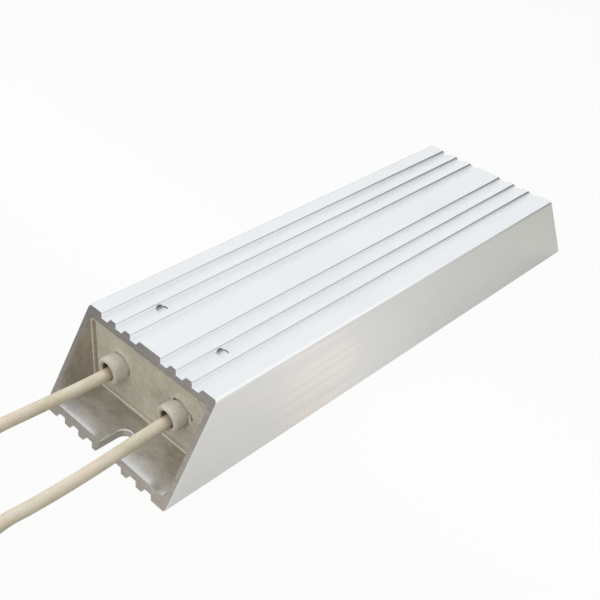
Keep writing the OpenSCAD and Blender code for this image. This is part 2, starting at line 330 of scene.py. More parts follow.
def groove_aluminium():
    """Steep walls of the grooves and the side of the two top edges, with painted shade next to
    the flat that thickens toward the rear end."""
    n = Surface("groove_aluminium", roughness=0.42, metallic=1.0)
    lines = n.noise((1.2, 0.004, 1.2), detail=2.0)
    patches = n.noise((0.1, 0.05, 0.1), detail=4.0, rough=0.65, seed=8.0)
    bare = n.colours(lines, [(0.35, (0.87, 0.875, 0.88)), (0.65, (0.94, 0.945, 0.95))])
    wall_shade = n.colours(patches, [(0.35, (0.07, 0.07, 0.067)), (0.65, (0.18, 0.178, 0.172))])
    middle = BODY_H / 2
    narrow = n.along("Z", middle - 0.7 * GROOVE_D, middle - 0.15, middle=middle)
    wide = n.along("Z", middle - GROOVE_D, middle - 0.3, middle=middle)
    under_edge = n.mix(narrow, wide, n.along("Y", 0, 105))
    on_side = n.along("X", SIDE_X - 1.5, SIDE_X - 1, middle=0)
    rearward = n.mix(n.along("Y", -80, 100, 0.2, 1.0), n.along("Y", 0, 100), on_side)
    # Painted shade on the upper part of each wall, darker toward the rear
    colour = n.mix(bare, wall_shade, n.product(under_edge, rearward))
    return n.finish(colour, None, lines, depth_mm=0.03, strength=0.15)


def sawn_aluminium():
    """Rough sawn face: short overlapping tooth marks; painted light brightens it toward the base
    and +X.
    """
    n = Surface("sawn_aluminium", roughness=0.55, metallic=1.0)
    marks = n.noise((0.5, 5.0, 5.0), detail=3.0, rough=0.65)
    coarse = n.noise((0.09, 0.8, 0.8), detail=2.0, seed=5.0)
    grain = n.noise(3.5, detail=4.0, rough=0.7, seed=9.0)
    tone = n.blend_values([(marks, 0.5), (coarse, 0.25), (grain, 0.25)])
    colour = n.colours(tone, [(0.3, (0.235, 0.226, 0.208)), (0.5, (0.32, 0.308, 0.285)),
                              (0.7, (0.425, 0.41, 0.38))])
    # Painted light, brighter toward the base and toward +X
    upward = n.mix((1.42, 1.38, 1.34), (1.0, 0.975, 1.0), n.along("Z", 4, 30))
    colour = n.mix(colour, upward, 1.0, "MULTIPLY")
    colour = n.mix(colour, n.along("X", -28, 28, 0.88, 1.2), 1.0, "MULTIPLY")
    rough = n.spread(grain, 0.3, 0.7, 0.45, 0.65)
    return n.finish(colour, rough, tone, depth_mm=0.06, strength=0.6)


def cavity_aluminium():
    """Inside of the extrusion: painted shade and painted cement reflection deeper in, bare at the
    lip.
    """
    n = Surface("cavity_aluminium", roughness=0.45, metallic=1.0)
    lines = n.noise((1.8, 0.02, 1.8), detail=4.0, rough=0.7)
    patchiness = n.noise((0.25, 0.4, 0.25), detail=4.0, rough=0.65, seed=6.0)
    bare = n.colours(lines, [(0.35, (0.86, 0.87, 0.88)), (0.65, (0.94, 0.95, 0.96))])
    # Painted shade and painted reflection of the cement, deep in the cavity
    inner_shade = n.colours(patchiness, [(0.35, (0.53, 0.497, 0.45)), (0.65, (0.70, 0.655, 0.60))])
    uneven = n.blend_values([(n.distance("Y"), 1.0), (patchiness, 2 * MM)])
    toward_lip = n.spread(uneven, 100 * MM, 105 * MM)
    # The painted shade gives way to bare metal toward the lip
    colour = n.mix(inner_shade, bare, toward_lip)
    rough = n.spread(toward_lip, 0.0, 1.0, 0.55, 0.22)
    return n.finish(colour, rough, lines, depth_mm=0.03, strength=0.4)


def cement():
    """Cast cement with soft stains, fine sand and pinholes, with painted shade in the pinholes and
    deep in its cracks.
    """
    n = Surface("cement", roughness=0.92, specular=0.25)
    stains = n.noise(0.12, detail=4.0, rough=0.6)
    blotches = n.noise(0.55, detail=3.0, seed=4.0)
    sand = n.noise(4.5, detail=3.0, rough=0.7, seed=8.0)
    tone = n.blend_values([(stains, 0.5), (blotches, 0.3), (sand, 0.2)])
    colour = n.colours(tone, [(0.34, (0.48, 0.44, 0.36)), (0.5, (0.59, 0.55, 0.455)),
                              (0.64, (0.68, 0.635, 0.54))])
    # Painted shade where the face is opened into cracks, pits and crevices
    crevice_shade = n.add("ShaderNodeAttribute", attribute_name="crevice_shade").outputs["Fac"]
    colour = n.mix(colour, (0.12, 0.10, 0.07), n.spread(crevice_shade, 0.1, 0.6, 0.0, 0.92))
    # Pinholes darkened with painted shade
    pinholes = n.spread(n.noise(2.2, detail=2.0, seed=15.0), 0.72, 0.8)
    colour = n.mix(colour, (0.20, 0.17, 0.12), pinholes)
    height = n.blend_values([(blotches, 0.5), (sand, 0.5), (pinholes, -0.8)])
    return n.finish(colour, None, height, depth_mm=0.08, strength=0.6)


def bush_ceramic():
    """Unglazed steatite, a little smoother and greyer than the cement, dusted with it."""
    n = Surface("bush_ceramic", roughness=0.8, specular=0.35)
    soft = n.noise(0.35, detail=3.0)
    dust = n.noise(1.4, detail=4.0, rough=0.7, seed=6.0)
    grain = n.noise(6.0, detail=2.0, seed=12.0)
    tone = n.blend_values([(soft, 0.5), (dust, 0.35), (grain, 0.15)])
    colour = n.colours(tone, [(0.34, (0.49, 0.455, 0.38)), (0.5, (0.595, 0.555, 0.47)),
                              (0.66, (0.69, 0.65, 0.565))])
    return n.finish(colour, n.spread(dust, 0.3, 0.7, 0.7, 0.9), tone, depth_mm=0.05, strength=0.5)


def bush_bore():
    """Inside of a bush, painted brown and black for the shade deep in the bore round the lead."""
    n = Surface("bush_bore", roughness=0.7, specular=0.3)
    bore_shade_noise = n.noise(0.8, detail=4.0, rough=0.65)
    colour = n.colours(bore_shade_noise, [(0.35, (0.09, 0.07, 0.04)), (0.65, (0.30, 0.23, 0.13))])
    return n.finish(colour, None, bore_shade_noise, depth_mm=0.05, strength=0.5)


def liner_sheet():
    """Pressed mica sheet: flaky layers along its plane, and a painted highlight on its rim low
    down.
    """
    n = Surface("liner_sheet", roughness=0.75, specular=0.4)
    flakes = n.noise((0.6, 0.25, 0.6), detail=4.0, rough=0.65)
    layers = n.noise((6.0, 0.2, 6.0), detail=2.0, seed=5.0)
    tone = n.blend_values([(flakes, 0.6), (layers, 0.4)])
    colour = n.colours(tone, [(0.33, (0.44, 0.405, 0.32)), (0.5, (0.55, 0.51, 0.41)),
                              (0.67, (0.66, 0.62, 0.52))])
    # Painted highlight on the sheet's end rim, fading out higher up and dimmer at the far left
    rim = n.along("Y", LINER_HALF - 0.35, LINER_HALF - 0.12, 0.0, 0.8, middle=0)
    shown = n.product(n.along("Z", 21, 28, 1.0, 0.0), n.along("X", -26.5, -25.5, 0.45, 1.0))
    colour = n.mix(colour, (0.82, 0.78, 0.68), n.product(rim, shown))
    return n.finish(colour, None, tone, depth_mm=0.06, strength=0.5)


def lead_silicone():
    """Cream silicone insulation with a faint mottle, a few handling marks and the lay of the
    strands showing through."""
    n = Surface("lead_silicone", roughness=0.55, specular=0.4)
    n.inputs["Subsurface Weight"].default_value = 0.08
    n.inputs["Subsurface Scale"].default_value = 1.5 * MM
    n.inputs["Subsurface Radius"].default_value = (1.0, 0.7, 0.4)
    mottle = n.noise((0.4, 0.16, 0.4), detail=4.0, rough=0.6)
    patches = n.noise((0.1, 0.045, 0.1), detail=2.0, seed=4.0)
    smudges = n.noise((0.9, 0.5, 0.9), detail=4.0, rough=0.75, seed=9.0)
    grain = n.noise(4.0, detail=2.0, seed=13.0)
    tone = n.blend_values([(mottle, 0.45), (patches, 0.45), (grain, 0.1)])
    colour = n.colours(tone, [(0.34, (0.57, 0.51, 0.375)), (0.5, (0.68, 0.615, 0.49)),
                              (0.66, (0.75, 0.695, 0.585))])
    hues = n.noise((0.22, 0.09, 0.22), detail=3.0, seed=17.0)
    hue = n.colours(hues, [(0.38, (1.02, 0.97, 0.98)), (0.62, (0.97, 1.0, 0.96))])
    colour = n.mix(colour, hue, 1.0, "MULTIPLY")
    colour = n.mix(colour, (0.46, 0.41, 0.31), n.spread(smudges, 0.64, 0.82, 0.0, 0.6))
    # Painted shade on the lead where it goes into the bush, brown as the bore
    near_bush = n.along("Y", BUSH_MOUTH - 2.2, BUSH_MOUTH + 0.8, 0.0, 0.6)
    colour = n.mix(colour, (0.42, 0.30, 0.17), near_bush)
    rough = n.spread(mottle, 0.3, 0.7, 0.48, 0.66)
    height = n.blend_values([(mottle, 0.6), (grain, 0.4)])
    return n.finish(colour, rough, height, depth_mm=0.06, strength=0.4)


def heat_shrink():
    """Black heat-shrink tube, drawn slightly along its length."""
    n = Surface("heat_shrink", roughness=0.45, specular=0.45)
    ripples = n.noise(0.8, detail=3.0)
    dust = n.noise(3.0, detail=4.0, rough=0.7, seed=6.0)
    colour = n.colours(n.blend_values([(ripples, 0.5), (dust, 0.5)]),
                       [(0.35, (0.018, 0.018, 0.02)), (0.65, (0.05, 0.05, 0.052))])
    rough = n.spread(dust, 0.3, 0.7, 0.36, 0.56)
    return n.finish(colour, rough, ripples, depth_mm=0.1, strength=0.5)


def plated_metal(name, dark, light, roughness, line_scale=(1.5, 1.5, 1.5)):
    """Plated or drawn metal with fine lines and a slow change of tone."""
    n = Surface(name, roughness=roughness, metallic=1.0)
    slow = n.noise(0.15, detail=3.0)
    fine = n.noise(line_scale, detail=4.0, rough=0.65, seed=5.0)
    tone = n.blend_values([(slow, 0.6), (fine, 0.4)])
    colour = n.colours(tone, [(0.35, dark), (0.65, light)])
    rough = n.spread(fine, 0.3, 0.7, roughness - 0.07, roughness + 0.1)
    return n.finish(colour, rough, fine, depth_mm=0.03, strength=0.4)


def core_ceramic():
    """Plain fired ceramic rod."""
    n = Surface("core_ceramic", roughness=0.7, specular=0.4)
    soft = n.noise(0.2, detail=3.0)
    specks = n.noise(3.0, detail=3.0, rough=0.7, seed=4.0)
    colour = n.colours(n.blend_values([(soft, 0.6), (specks, 0.4)]),
                       [(0.35, (0.78, 0.76, 0.70)), (0.65, (0.88, 0.87, 0.82))])
    return n.finish(colour, None, specks, depth_mm=0.04, strength=0.4)


# --- Camera ------------------------------------------------------------------------------

CAMERA_TURNS = (41.05, 36.2, 5.36)  # azimuth, elevation and roll, in degrees
CAMERA_PLACE = (176.95, -225.16, 216.27)
CAMERA_LENS = 57.76


def make_camera():
    azimuth, elevation, roll = (math.radians(v) for v in CAMERA_TURNS)
    back = Vector((math.sin(azimuth) * math.cos(elevation),
                   -math.cos(azimuth) * math.cos(elevation), math.sin(elevation)))
    right = Vector((0, 0, 1)).cross(back).normalized()
    up = back.cross(right)
    tilted_right = right * math.cos(roll) + up * math.sin(roll)
    tilted_up = up * math.cos(roll) - right * math.sin(roll)
    turn = Matrix((tilted_right, tilted_up, back)).transposed().to_4x4()
    camera = new_object("camera", bpy.data.cameras.new("camera"))
    camera.matrix_world = Matrix.Translation(Vector(CAMERA_PLACE) * MM) @ turn
    camera.data.lens = CAMERA_LENS
    camera.data.clip_start = 0.01
    bpy.context.scene.camera = camera


# --- Leads and their terminals -----------------------------------------------------------

# Each lead lies in a coil, turns in by a tighter bend and ends in a straight run
COIL_R = 22.0
BEND_R = 11.5
COIL_TURN = 285.0
BEND_TURN = 115.0
COIL_STEP = 23.75
BEND_STEP = 23.0
LAST_RUN = 8.0
END_Z = 2.6
SPLICE_Y = BUSH_BACK + 6  # where the lead ends inside the cement
SETTLE_TURN = 60.0  # degrees of the coil in which the lead comes to lie flat
# From the mouth of the lead's bush: across, along, and the height as a share of the mouth's
RUN_LEFT = [
    (-0.2, -10.5, 1), (-0.7, -18.5, 1), (-1.4, -27.5, 0.99), (-2, -36.5, 0.98),
    (-2.7, -45.5, 0.89), (-3.9, -54.5, 0.71), (-5.7, -63.5, 0.46), (-8.1, -72.5, 0.21),
    (-10, -80.5, 0.06),
]
RUN_RIGHT = [
    (0.3, -8.5, 1), (0.8, -17.5, 1), (1.3, -27.5, 1), (1.5, -37.5, 1),
    (1.3, -46.5, 0.99), (0.9, -55.5, 0.97), (1.7, -63.5, 0.82), (4.9, -71.5, 0.57),
    (8.7, -80, 0.28),
]
# Middle of each coil, and the height at which its lead comes in
COIL_LEFT = (-BUSH_X - 32.7, BUSH_MOUTH - 88.5)
COIL_RIGHT = (BUSH_X - 11.3, BUSH_MOUTH - 88.5)
START_LEFT = 2.2
START_RIGHT = 3.4


def on_circle(centre, radius, degrees):
    angle = math.radians(degrees)
    return centre[0] + radius * math.cos(angle), centre[1] - radius * math.sin(angle)


def end_place(centre):
    """Where a lead meets its terminal, and the way that it points there."""
    total = COIL_TURN + BEND_TURN
    bend_centre = on_circle(centre, COIL_R - BEND_R, COIL_TURN)
    heading = Vector((-math.sin(math.radians(total)), -math.cos(math.radians(total)), 0))
    start = Vector((*on_circle(bend_centre, BEND_R, total), END_Z))
    return start + LAST_RUN * heading, heading


def lead_route(side, run, centre, start):
    """The lead's middle line, from its splice inside the cement to its terminal."""
    points = [(side * BUSH_X, SPLICE_Y, LEAD_Z), (side * BUSH_X, BUSH_MOUTH, LEAD_Z)]
    for across, along, share in run:
        height = LEAD_R + share * (LEAD_Z - LEAD_R)
        points.append((side * BUSH_X + across, BUSH_MOUTH + along, height))
    for i in range(round(COIL_TURN / COIL_STEP) + 1):
        turn = i * COIL_STEP
        drop = max(0.0, start - LEAD_R) * max(0.0, 1 - turn / SETTLE_TURN)
        points.append((*on_circle(centre, COIL_R, turn), LEAD_R + drop))
    bend_centre = on_circle(centre, COIL_R - BEND_R, COIL_TURN)
    for i in range(1, round(BEND_TURN / BEND_STEP) + 1):
        turn = i * BEND_STEP
        rise = (END_Z - LEAD_R) * turn / BEND_TURN
        points.append((*on_circle(bend_centre, BEND_R, COIL_TURN + turn), LEAD_R + rise))
    points.append(tuple(end_place(centre)[0]))
    return [Vector(p) for p in points]


def make_lead(name, points, material):
    curve = bpy.data.curves.new(name, "CURVE")
    curve.dimensions = "3D"
    curve.bevel_depth = LEAD_R * MM
    curve.bevel_resolution = 6
    curve.resolution_u = 6
    curve.use_fill_caps = True
    spline = curve.splines.new("BEZIER")
    spline.bezier_points.add(len(points) - 1)
    for knot, point in zip(spline.bezier_points, points):
        knot.co = point * MM
        knot.handle_left_type = "AUTO"
        knot.handle_right_type = "AUTO"
    return new_piece(name, curve, material)


def turned_to(points, origin, heading):
    """Points drawn along +Y from zero, laid along a heading from an origin."""
    across = Vector((heading.y, -heading.x, 0))
    return [origin + p[0] * across + p[1] * heading + Vector((0, 0, p[2])) for p in points]


def make_lug(name, centre, material):
    """Ring terminal: a rolled barrel with its seam and crimp, a neck and a flat ring."""
    origin, heading = end_place(centre)
    barrel_len, ring_reach, ring_t, ring_edge = 6.0, 6.5, 1.0, 0.15
    crimp_y, crimp_deep, rim_deep, seam_deep, fade = 2.6, 0.32, 0.18, 0.22, 1.1
    rings, sides = 14, 28
    points = []
    for i in range(rings):
        along = barrel_len * i / (rings - 1)
        squeeze = crimp_deep * math.exp(-((along - crimp_y) / fade) ** 2)
        rim = rim_deep * step_up(abs(2 * i / (rings - 1) - 1), 0.86, 1.0)
        for k in range(sides):
            turn = 2 * math.pi * k / sides + math.pi / 2
            seam = seam_deep * math.exp(-(min(k, sides - k) / fade) ** 2)
            r = LEAD_R - rim - seam - squeeze * max(0.0, math.sin(turn)) ** 2
            points.append((r * math.cos(turn), along, r * math.sin(turn)))
    faces = rings_to_faces(rings, sides)
    # Outline of the neck and ring, seen from above, and the round hole in it
    ring_y = barrel_len + ring_reach
    ring_r, hole_r, neck = 4.5, 2.65, 1.8
    start = math.degrees(math.asin(neck / ring_r))
    throat_y = ring_y - ring_r * math.cos(math.radians(start)) - 0.6
    throat_turn = 9
    outline = [(neck, barrel_len - 1), (neck, throat_y)]
    outline += arc(0, ring_y, ring_r, -90 + start + throat_turn, 270 - start - throat_turn, 40)
    outline += [(-neck, throat_y), (-neck, barrel_len - 1)]
    hole = arc(0, ring_y, hole_r, 0, 360, 40)[:-1]
    plate_points, plate_faces = pierced_plate(outline, hole, -LEAD_R, ring_t, ring_edge)
    shift = len(points)
    points += plate_points
    faces += [tuple(v + shift for v in face) for face in plate_faces]
    return add_piece(name, turned_to(points, origin, heading), faces, material)


def inset_loop(loop, amount):
    """A closed loop of plane points moved to its left by an amount."""
    moved = []
    for i, here in enumerate(loop):
        before, after = Vector(loop[i - 1]), Vector(loop[(i + 1) % len(loop)])
        here = Vector(here)
        first, second = (here - before).normalized(), (after - here).normalized()
        left = Vector((-first.y - second.y, first.x + second.x)).normalized()
        spread = max(0.4, left.dot(Vector((-first.y, first.x))))
        moved.append(tuple(here + left * amount / spread))
    return moved


def pierced_plate(outline, hole, bottom, thickness, edge):
    """A flat plate with one hole, its edges broken on both sides."""
    loops = []
    for height, amount in ((bottom, edge), (bottom + edge, 0), (bottom + thickness - edge, 0),
                           (bottom + thickness, edge)):
        loops.append([(x, y, height) for x, y in inset_loop(outline, amount)])
        loops.append([(x, y, height) for x, y in inset_loop(hole, -amount)])
    points, starts = [], []
    for loop in loops:
        starts.append(len(points))
        points += loop
    faces = []
    for level in range(3):
        for ring, size in ((0, len(outline)), (1, len(hole))):
            faces += band(starts[2 * level + ring], starts[2 * level + 2 + ring], size)
    for level in (0, 3):
        flat = [[Vector(p) for p in loops[2 * level]], [Vector(p) for p in loops[2 * level + 1]]]
        index = list(range(starts[2 * level], starts[2 * level] + len(outline)))
        index += range(starts[2 * level + 1], starts[2 * level + 1] + len(hole))
        faces += [tuple(index[v] for v in tri) for tri in tessellate_polygon(flat)]
    return points, faces


def make_sleeve(name, centre, material):
    """Heat-shrink over the barrel, pulled in over the end of the insulation."""
    origin, heading = end_place(centre)
    length, wall, reach = 12.0, 0.6, 7.0
    thin_end, hug_deep, pucker = 0.22, 0.12, 0.05
    outer, steps = [], 24
    for i in range(steps + 1):
        along = length * i / steps - reach
        edge = thin_end * step_up(abs(2 * i / steps - 1), 0.9, 1.0)
        hug = hug_deep * (1 - step_up(along, -3.5, -0.5))
        outer.append((LEAD_R + wall - edge - hug, along))
    inner = [(LEAD_R, length - reach), (LEAD_R, -reach)]

    def wobble(turn, radius, along):
        return -pucker * max(0, math.sin(3 * turn + along / 2)) * (radius > 2.1)

    points, faces = lathe(outer + inner, 28, (0, 0, 0), wobble)
    return add_piece(name, turned_to(points, origin, heading), faces, material)


# --- Housing -----------------------------------------------------------------------------

def groove_points(centre):
    """One groove in the top, from right to left, as x and depth."""
    half, floor_half = GROOVE_W / 2, GROOVE_FLOOR_W / 2
    lean = math.degrees(math.atan((half - floor_half) / GROOVE_D))
    mouth = arc(half + GROOVE_R, GROOVE_R, GROOVE_R, -90, -180 - lean, 5)
    floor = arc(floor_half - GROOVE_R, GROOVE_D - GROOVE_R, GROOVE_R, -lean, 90, 5)
    right = mouth + floor
    left = [(-x, depth) for x, depth in reversed(right)]
    return [(centre + x, depth) for x, depth in right + left]


def outer_profile():
    """The extrusion's outline in x and z, anticlockwise from the bottom right corner."""
    centres = [GROOVE_FIRST + i * GROOVE_PITCH for i in range(GROOVE_COUNT)]
    centres = sorted(centres + [-c for c in centres])
    corner_x, corner_z = SIDE_X - EDGE_R, BODY_H - EDGE_R
    loop = arc(corner_x, EDGE_R, EDGE_R, -90, 0, 8)
    loop += arc(corner_x, corner_z, EDGE_R, 0, 90, 8)
    for centre in reversed(centres):
        loop += [(x, BODY_H - depth) for x, depth in groove_points(centre)]
    loop += arc(-corner_x, corner_z, EDGE_R, 90, 180, 8)
    loop += arc(-corner_x, EDGE_R, EDGE_R, 180, 270, 8)
    for centre in centres:
        loop += reversed(groove_points(centre))
    return loop


def cavity_profile():
    """The outline of the square bore in x and z, in the same order."""
    left, right = liner_low.x + CAVITY_R, liner_high.x - CAVITY_R
    low, high = liner_low.z + CAVITY_R, liner_high.z - CAVITY_R
    loop = []
    for x, z, start in ((right, low, -90), (right, high, 0), (left, high, 90), (left, low, 180)):
        loop += arc(x, z, CAVITY_R, start, start + 90, 6)
    return loop


def sawn_y(z):
    """Half the extrusion's length at a height."""
    return BASE_HALF - SETBACK * z / BODY_H


def housing_mesh():
    """The extrusion between its two slanted cuts, with the saw's broken edge on each."""
    points, faces = [], []
    ring_sets = []
    for loop, into_metal in ((outer_profile(), BURR), (cavity_profile(), -BURR)):
        starts = []
        inner_loop = inset_loop(loop, into_metal)
        for end, ring, back in ((-1, inner_loop, 0), (-1, loop, BURR), (1, loop, BURR),
                                (1, inner_loop, 0)):
            starts.append(len(points))
            points += [(x, end * (sawn_y(z) - back), z) for x, z in ring]
        for a, b in zip(starts, starts[1:]):
            faces += band(a, b, len(loop))
        ring_sets.append((starts, len(loop)))
    for which in (0, 3):
        index, flat = [], []
        for starts, size in ring_sets:
            index += range(starts[which], starts[which] + size)
            flat.append([Vector((points[v][0], points[v][2], 0))
                         for v in range(starts[which], starts[which] + size)])
        faces += [tuple(index[v] for v in tri) for tri in tessellate_polygon(flat)]
    return points, faces


def slot_cutter(end):
    """An open slot with its edges broken at both faces of the base wall."""
    wall = liner_low.z
    # Height, and how much wider than the slot the cutter is there
    levels = [(-2, 0.4), (-0.05, 0.4), (0.25, 0), (wall - 0.22, 0), (wall + 0.06, 0.3),
              (wall + 0.4, 0.3)]
    reach = 25
    points = []
    for z, wider in levels:
        half = SLOT_W / 2 + wider
        ring = arc(0, 0, half, 0, 180, 24)
        ring += [(-half, -reach), (half, -reach)]
        points += [(x * -end, end * (SLOT_Y - y), z) for x, y in ring]
    return points, rings_to_faces(len(levels), len(ring))


def stake_cutter(side):
    """A round punch mark with a sloped wall."""
    floor = BODY_H - GROOVE_D
    # Height, and the mark's radius there
    levels = [(floor - 0.45, 1.5), (floor - 0.38, 1.7), (floor - 0.05, STAKE_R - 0.02),
              (floor + 0.1, STAKE_R), (BODY_H + 1, STAKE_R)]
    points = []
    for z, radius in levels:
        ring = arc(0, 0, radius, 0, 360, 32)[:-1]
        points += [(side * STAKE_X + x, STAKE_Y + y, z) for x, y in ring]
    return points, rings_to_faces(len(levels), len(ring))


def cut(piece, cutters):
    """Takes closed cutters out of a piece and keeps the result as its mesh."""
    for points, faces in cutters:
        tool = new_object("cutter", new_mesh("cutter", points, faces))
        modifier = piece.modifiers.new("cut", "BOOLEAN")
        modifier.operation = "DIFFERENCE"
        modifier.solver = "EXACT"
        modifier.object = tool
        bpy.context.view_layer.update()
        evaluated = piece.evaluated_get(bpy.context.evaluated_depsgraph_get())
        result = bpy.data.meshes.new_from_object(evaluated)
        piece.modifiers.remove(modifier)
        piece.data = result
        bpy.data.objects.remove(tool)


DRAWN, SAWN, CAVITY, GROOVE = range(4)


def housing_surface(place, normal):
    """Which of the housing's surfaces a face belongs to."""
    x, y, z = place
    slant = Vector((BODY_H, SETBACK)).normalized()
    if abs(normal.y) * slant.x + normal.z * slant.y > 0.97:  # it lies in one of the two cuts
        return SAWN
    in_slot = abs(y) > SLOT_Y - SLOT_W and abs(x) < SLOT_W / 2 * 1.05
    # The slot's curved walls take the cavity surface, and with it that surface's painted shade
    if in_slot and abs(normal.z) < 0.2:
        return SAWN if abs(normal.x) > 0.8 else CAVITY
    if liner_low.x - 0.1 < x < liner_high.x + 0.1 and liner_low.z - 0.1 < z < liner_high.z + 0.1:
        return SAWN if abs(y) > sawn_y(z) - BURR else CAVITY
    # The punch marks' walls take the dark sawn surface as painted shade
    in_mark = z > BODY_H / 2 and math.hypot(abs(x) - STAKE_X, y - STAKE_Y) < STAKE_R + 0.2
    if in_mark and abs(normal.z) < 0.8:
        return SAWN
    # The side of each top edge takes the groove surface, with its painted shade line
    if abs(normal.x) > 0.7 and BODY_H - EDGE_R < z:
        return GROOVE
    in_groove = min(z, BODY_H - z) < GROOVE_D and abs(x) < SIDE_X - EDGE_R
    return GROOVE if in_groove and abs(normal.x) > 0.6 else DRAWN


def make_housing(*materials):
    """The extrusion with its slots and punch marks, each face in its own surface."""
    points, faces = housing_mesh()
    piece = add_piece("housing_body", points, faces, materials[0])
    cut(piece, [slot_cutter(-1), slot_cutter(1), stake_cutter(-1), stake_cutter(1)])
    piece.data.materials.clear()
    for material in materials:
        piece.data.materials.append(material)
    for face in piece.data.polygons:
        face.material_index = housing_surface(face.center / MM, face.normal)
    smooth_by_angle(piece.data)
    weighted = piece.modifiers.new("flat faces stay flat", "WEIGHTED_NORMAL")
    weighted.keep_sharp = True
    weighted.weight = 100
    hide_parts("housing")


# --- Liner, cement and bushes ------------------------------------------------------------

def make_liner(material):
    """The sheet between cement and aluminium, a little worn along both ends."""
    outer = cavity_profile()
    inner = inset_loop(outer, LINER_T)
    worn_deep, edge = 0.14, 0.14
    rings = []
    for end in (-1, 1):
        for loop, back in ((outer, 0.16), (inset_loop(outer, edge), 0.0),
                           (inset_loop(outer, LINER_T - 0.12), 0.0), (inner, 0.12)):
            ring = []
            for x, z in loop:
                worn = worn_deep * abs(noise.noise((x / 2.5, end, z / 2.5)))
                ring.append((x, end * (LINER_HALF - back - worn), z))
            rings.append(ring)
    # Over the front edge, rearward inside, over the rear edge and forward outside
    order = [0, 1, 2, 3, 7, 6, 5, 4]
    size = len(outer)
    points = [p for i in order for p in rings[i]]
    faces = []
    for i in range(len(order)):
        faces += band(i * size, (i + 1) % len(order) * size, size)
    piece = add_piece("liner_sheet", points, faces, material)
    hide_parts("liner")


# Pits in the cement's front face: x, z, radius and depth
PITS = [
    (13.15, 22.0, 0.55, 1.4), (18.45, 20.0, 0.6, 1.4), (15.1, 22.1, 0.35, 0.9),
    (16.4, 21.7, 0.3, 0.8), (17.3, 21.1, 0.3, 0.8), (23.05, 21.4, 0.35, 0.7),
    (-9.1, 15.2, 0.3, 0.5), (-8.9, 13.8, 0.35, 0.5), (-22.5, 24.5, 0.25, 0.3),
    (4.5, 9.0, 0.25, 0.3),
]
# Cracks in it: the two ends of each, and its depth
CRACKS = [
    ((18.75, 19.0), (19.35, 16.9), 1.0), ((19.35, 16.9), (19.1, 15.2), 0.7),
    ((19.7, 19.7), (20.4, 18.0), 0.8),
]


def distance_to_line(x, z, start, end):
    start, end, here = Vector(start), Vector(end), Vector((x, z))
    along = end - start
    t = min(1.0, max(0.0, (here - start).dot(along) / along.length_squared))
    return (here - start - t * along).length


def bell(value, middle, width):
    """1 at the middle, falling smoothly to 0 at width to either side."""
    return 1 - step_up(abs(value - middle), 0.0, width)


def collar(side, angle):
    """How far the cement climbs a bush at an angle from +X, in millimetres."""
    if side < 0:
        return 0.5 + 0.45 * bell(angle, 105, 55)
    return 0.5 + 0.8 * bell(angle, 112, 40) + 0.75 * bell(angle, 3, 40)


def cement_depth(x, z, seed, has_bushes):
    """How far the cement's face lies behind its flat, and how much of that is a crack or pit,
    in millimetres."""
    here = Vector((x, z, seed))
    depth = 0.1 * noise.noise(here / 7) + 0.06 * noise.noise(here / 2)
    depth += 0.03 * noise.noise(here / 0.7)
    to_side = min(x - cement_low.x, cement_high.x - x)
    to_base, to_top = z - cement_low.z, cement_high.z - z
    ragged = 0.5 + 0.5 * noise.noise(here / 1.6)
    opened = 0.9 * ragged * (1 - step_up(to_side, 0.3, 0.75))
    opened += 0.2 * ragged * (1 - step_up(to_base, 0.15, 0.5))
    depth -= 0.25 * (1 - step_up(min(to_side, to_base, to_top), 0.5, 2.4))
    if not has_bushes:
        return max(depth + opened, -0.3), opened
    for side in (-1, 1):
        from_axis = Vector((x - side * BUSH_X, z - BUSH_Z))
        r = from_axis.length - BUSH_R
        angle = math.degrees(math.atan2(from_axis.y, from_axis.x))
        lumps = 1 + 0.35 * noise.noise(here / 1.3)
        depth -= collar(side, angle) * lumps * (1 - step_up(r, 0.5, 2.6))
        # Open crevice along the right of each bush, and over it
        crevice = step_up(angle, -35, -5) * (1 - step_up(angle, 88, 118))
        crumbs = 0.6 + 0.9 * noise.noise(here / 0.8)
        opened += max(0.0, 1.1 * crevice * crumbs) * (1 - step_up(r, 0.25, 0.65))
    for pit_x, pit_z, radius, deep in PITS:
        d = math.hypot(x - pit_x, z - pit_z)
        opened = max(opened, deep * (1 - step_up(d, 0.35 * radius, radius)))
    for start, end, deep in CRACKS:
        waver = 0.2 * noise.noise(here / 0.9)
        d = distance_to_line(x + waver, z, start, end)
        opened = max(opened, deep * (1 - step_up(d, 0.06, 0.3)))
    return max(depth + opened, -1.5), opened


